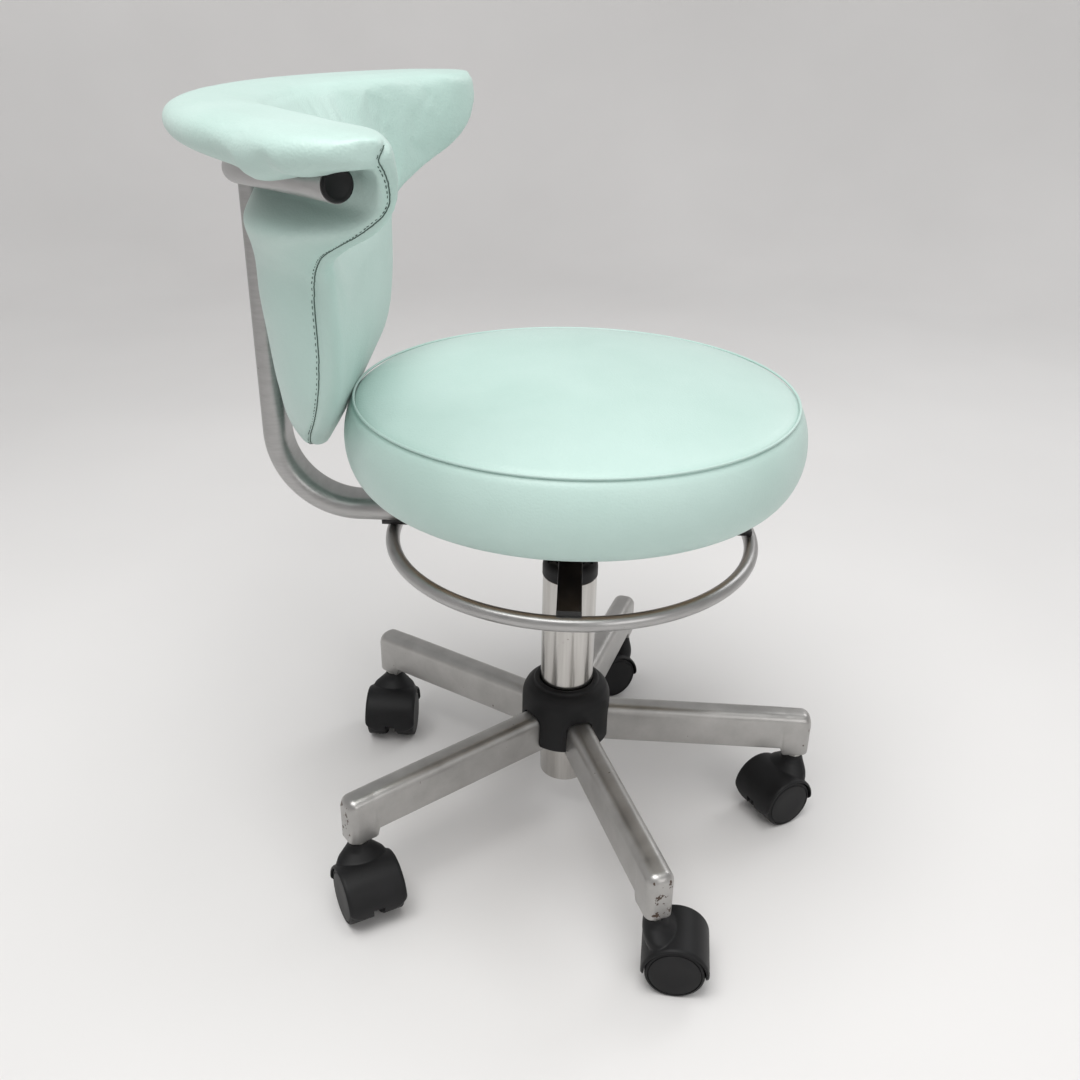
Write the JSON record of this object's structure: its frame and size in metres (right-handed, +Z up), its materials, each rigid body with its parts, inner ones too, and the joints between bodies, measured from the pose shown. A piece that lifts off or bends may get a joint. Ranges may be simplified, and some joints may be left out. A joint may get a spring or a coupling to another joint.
{
  "type": "dentist stool",
  "caption": "Round gas-lift work stool on casters, with a ring lever for height and a padded crescent backrest on a bent support tube.",
  "frame": {"origin": "middle of the stool's bounding box, on the floor under the casters", "axes": "+Z up along the column, -Y the way the sitter faces, +X to the right of someone looking along +Y"},
  "size_m": [0.534, 0.56, 0.672],
  "materials": {
    "vinyl": "satin",
    "satin_steel": "satin",
    "chrome": "gloss",
    "black_plastic": "matte",
    "black_steel": "satin",
    "zinc_steel": "satin",
    "plywood": "matte"
  },
  "bodies": {
    "base": {"base_hub": "satin_steel", "base_arm_1": "satin_steel", "base_arm_2": "satin_steel", "base_arm_3": "satin_steel", "base_arm_4": "satin_steel", "base_arm_5": "satin_steel", "caster_stem_1": "zinc_steel", "caster_stem_2": "zinc_steel", "caster_stem_3": "zinc_steel", "caster_stem_4": "zinc_steel", "caster_stem_5": "zinc_steel", "hub_cover": "black_plastic", "outer_tube": "chrome", "guide_bush": "black_plastic", "thrust_bearing": "zinc_steel"},
    "piston": {"piston_rod": "chrome", "retaining_clip": "zinc_steel"},
    "seat": {"gas_cylinder": "chrome", "seat_bracket": "black_steel", "seat_plate": "black_steel", "seat_board": "plywood", "seat_cushion": "vinyl", "seat_bolt_1": "zinc_steel", "seat_bolt_2": "zinc_steel", "seat_bolt_3": "zinc_steel", "seat_bolt_4": "zinc_steel", "pivot_pin": "zinc_steel", "back_support_bar": "satin_steel", "back_arc_tube": "satin_steel", "tube_plug_left": "black_plastic", "tube_plug_right": "black_plastic", "back_pad": "vinyl", "crest_pad": "vinyl", "back_bolt_1": "zinc_steel", "back_bolt_2": "zinc_steel"},
    "ring": {"height_ring": "satin_steel", "lever_cross": "black_steel", "release_finger": "black_steel"},
    "valve": {"valve_pin": "zinc_steel"},
    "caster_1": {"caster_hood_1": "black_plastic", "caster_axle_1": "zinc_steel"},
    "left_wheel_1": {"wheel_left_1": "black_plastic"},
    "right_wheel_1": {"wheel_right_1": "black_plastic"},
    "caster_2": {"caster_hood_2": "black_plastic", "caster_axle_2": "zinc_steel"},
    "left_wheel_2": {"wheel_left_2": "black_plastic"},
    "right_wheel_2": {"wheel_right_2": "black_plastic"},
    "caster_3": {"caster_hood_3": "black_plastic", "caster_axle_3": "zinc_steel"},
    "left_wheel_3": {"wheel_left_3": "black_plastic"},
    "right_wheel_3": {"wheel_right_3": "black_plastic"},
    "caster_4": {"caster_hood_4": "black_plastic", "caster_axle_4": "zinc_steel"},
    "left_wheel_4": {"wheel_left_4": "black_plastic"},
    "right_wheel_4": {"wheel_right_4": "black_plastic"},
    "caster_5": {"caster_hood_5": "black_plastic", "caster_axle_5": "zinc_steel"},
    "left_wheel_5": {"wheel_left_5": "black_plastic"},
    "right_wheel_5": {"wheel_right_5": "black_plastic"}
  },
  "joints": [
    {"name": "seat_swivel", "type": "hinge", "parent": "base", "child": "piston", "pos_m": [0, -0.03003, 0.05], "axis": [0, 0, 1], "continuous": true},
    {"name": "seat_lift", "type": "slide", "parent": "piston", "child": "seat", "axis": [0, 0, 1], "range_m": [0, 0.12]},
    {"name": "ring_lever", "type": "hinge", "parent": "seat", "child": "ring", "pos_m": [0, -0.07503, 0.33], "axis": [-1, 0, 0], "range_deg": [0, 4], "stiffness_Nm_per_rad": 25, "springref_deg": -3.44},
    {"name": "valve_travel", "type": "slide", "parent": "seat", "child": "valve", "axis": [0, 0, -1], "range_m": [0, 0.0035]},
    {"name": "caster_swivel_1", "type": "hinge", "parent": "base", "child": "caster_1", "pos_m": [-0.1413, 0.15018, 0.06], "axis": [0, 0, 1], "continuous": true},
    {"name": "wheel_spin_left_1", "type": "hinge", "parent": "caster_1", "child": "left_wheel_1", "pos_m": [-0.15862, 0.14018, 0.025], "axis": [0.5, -0.866, 0], "continuous": true},
    {"name": "wheel_spin_right_1", "type": "hinge", "parent": "caster_1", "child": "right_wheel_1", "pos_m": [-0.15862, 0.14018, 0.025], "axis": [0.5, -0.866, 0], "continuous": true},
    {"name": "caster_swivel_2", "type": "hinge", "parent": "base", "child": "caster_2", "pos_m": [0.12772, 0.16005, 0.06], "axis": [0, 0, 1], "continuous": true},
    {"name": "wheel_spin_left_2", "type": "hinge", "parent": "caster_2", "child": "left_wheel_2", "pos_m": [0.10772, 0.16005, 0.025], "axis": [0, -1, 0], "continuous": true},
    {"name": "wheel_spin_right_2", "type": "hinge", "parent": "caster_2", "child": "right_wheel_2", "pos_m": [0.10772, 0.16005, 0.025], "axis": [0, -1, 0], "continuous": true},
    {"name": "caster_swivel_3", "type": "hinge", "parent": "base", "child": "caster_3", "pos_m": [0.22024, -0.09276, 0.06], "axis": [0, 0, 1], "continuous": true},
    {"name": "wheel_spin_left_3", "type": "hinge", "parent": "caster_3", "child": "left_wheel_3", "pos_m": [0.21024, -0.07544, 0.025], "axis": [-0.866, -0.5, 0], "continuous": true},
    {"name": "wheel_spin_right_3", "type": "hinge", "parent": "caster_3", "child": "right_wheel_3", "pos_m": [0.21024, -0.07544, 0.025], "axis": [-0.866, -0.5, 0], "continuous": true},
    {"name": "caster_swivel_4", "type": "hinge", "parent": "base", "child": "caster_4", "pos_m": [0.00839, -0.25887, 0.06], "axis": [0, 0, 1], "continuous": true},
    {"name": "wheel_spin_left_4", "type": "hinge", "parent": "caster_4", "child": "left_wheel_4", "pos_m": [-0.00191, -0.24173, 0.025], "axis": [-0.8572, -0.515, 0], "continuous": true},
    {"name": "wheel_spin_right_4", "type": "hinge", "parent": "caster_4", "child": "right_wheel_4", "pos_m": [-0.00191, -0.24173, 0.025], "axis": [-0.8572, -0.515, 0], "continuous": true},
    {"name": "caster_swivel_5", "type": "hinge", "parent": "base", "child": "caster_5", "pos_m": [-0.21505, -0.10873, 0.06], "axis": [0, 0, 1], "continuous": true},
    {"name": "wheel_spin_left_5", "type": "hinge", "parent": "caster_5", "child": "left_wheel_5", "pos_m": [-0.2168, -0.12865, 0.025], "axis": [0.9962, -0.0872, 0], "continuous": true},
    {"name": "wheel_spin_right_5", "type": "hinge", "parent": "caster_5", "child": "right_wheel_5", "pos_m": [-0.2168, -0.12865, 0.025], "axis": [0.9962, -0.0872, 0], "continuous": true}
  ],
  "couplings": [
    {"joint": "valve_travel", "follows": "ring_lever", "m_per_rad": 0.045}
  ]
}
